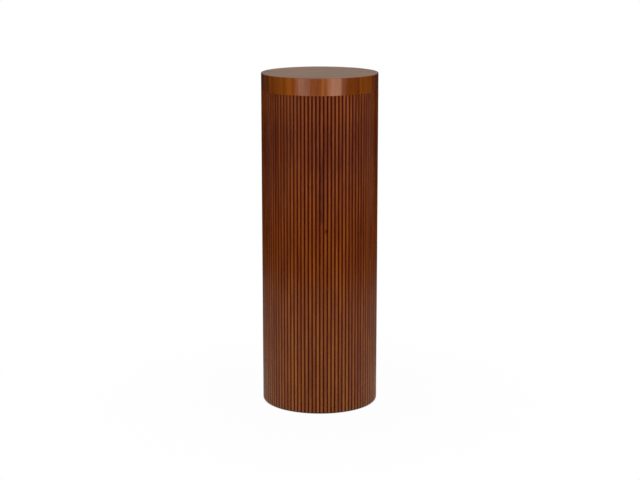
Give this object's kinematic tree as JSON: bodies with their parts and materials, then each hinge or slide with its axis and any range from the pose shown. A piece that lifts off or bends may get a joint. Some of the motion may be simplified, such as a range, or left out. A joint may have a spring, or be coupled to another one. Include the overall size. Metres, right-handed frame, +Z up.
{
  "type": "pedestal column stand",
  "caption": "Tall round wooden pedestal with a flat top, a smooth rim band and a drum reeded all round with upright half-round slats; stands on low glides.",
  "frame": {"origin": "centre of the footprint, on the floor under the glides", "axes": "+Z up along the column's axis to the top surface; the front, over a shell seam and a post, faces -Y; +X is to its right seen from the front"},
  "size_m": [0.3174, 0.3174, 0.914],
  "materials": {
    "stained_slats": "satin red-brown stain and lacquer over half-round hardwood slats",
    "stained_band": "satin red-brown stain and lacquer over veneer with upright grain",
    "stained_top": "satin red-brown stain and lacquer over straight-grained veneer",
    "cap_fibreboard": "raw fibreboard",
    "base_fibreboard": "fibreboard with a dark brushed sealer",
    "birch_plywood": "raw sanded plywood with laminated edges",
    "bent_plywood": "raw bending plywood",
    "pine_post": "planed softwood",
    "tambour_canvas": "plain-woven cotton canvas, darkened by glue and stain",
    "zinc_screws": "zinc-plated steel",
    "glide_nylon": "moulded brown nylon"
  },
  "bodies": {
    "root": {"glide_front": "glide_nylon", "glide_right": "glide_nylon", "glide_back": "glide_nylon", "glide_left": "glide_nylon", "base_panel": "base_fibreboard", "former_base": "birch_plywood", "former_lower_middle": "birch_plywood", "former_upper_middle": "birch_plywood", "former_top": "birch_plywood", "post_front": "pine_post", "post_right": "pine_post", "post_back": "pine_post", "post_left": "pine_post", "drum_shell_right": "bent_plywood", "drum_shell_left": "bent_plywood", "tambour_canvas_front": "tambour_canvas", "tambour_canvas_right": "tambour_canvas", "tambour_canvas_back": "tambour_canvas", "tambour_canvas_left": "tambour_canvas", "tambour_slats_front": "stained_slats", "tambour_slats_right": "stained_slats", "tambour_slats_back": "stained_slats", "tambour_slats_left": "stained_slats", "cap_lower_core": "cap_fibreboard", "cap_upper_core": "cap_fibreboard", "cap_top_veneer": "stained_top", "cap_rim_band": "stained_band", "glide_screws": "zinc_screws", "base_panel_screws": "zinc_screws", "post_screws_base": "zinc_screws", "post_screws_top": "zinc_screws", "cap_screws": "zinc_screws"}
  },
  "joints": []
}
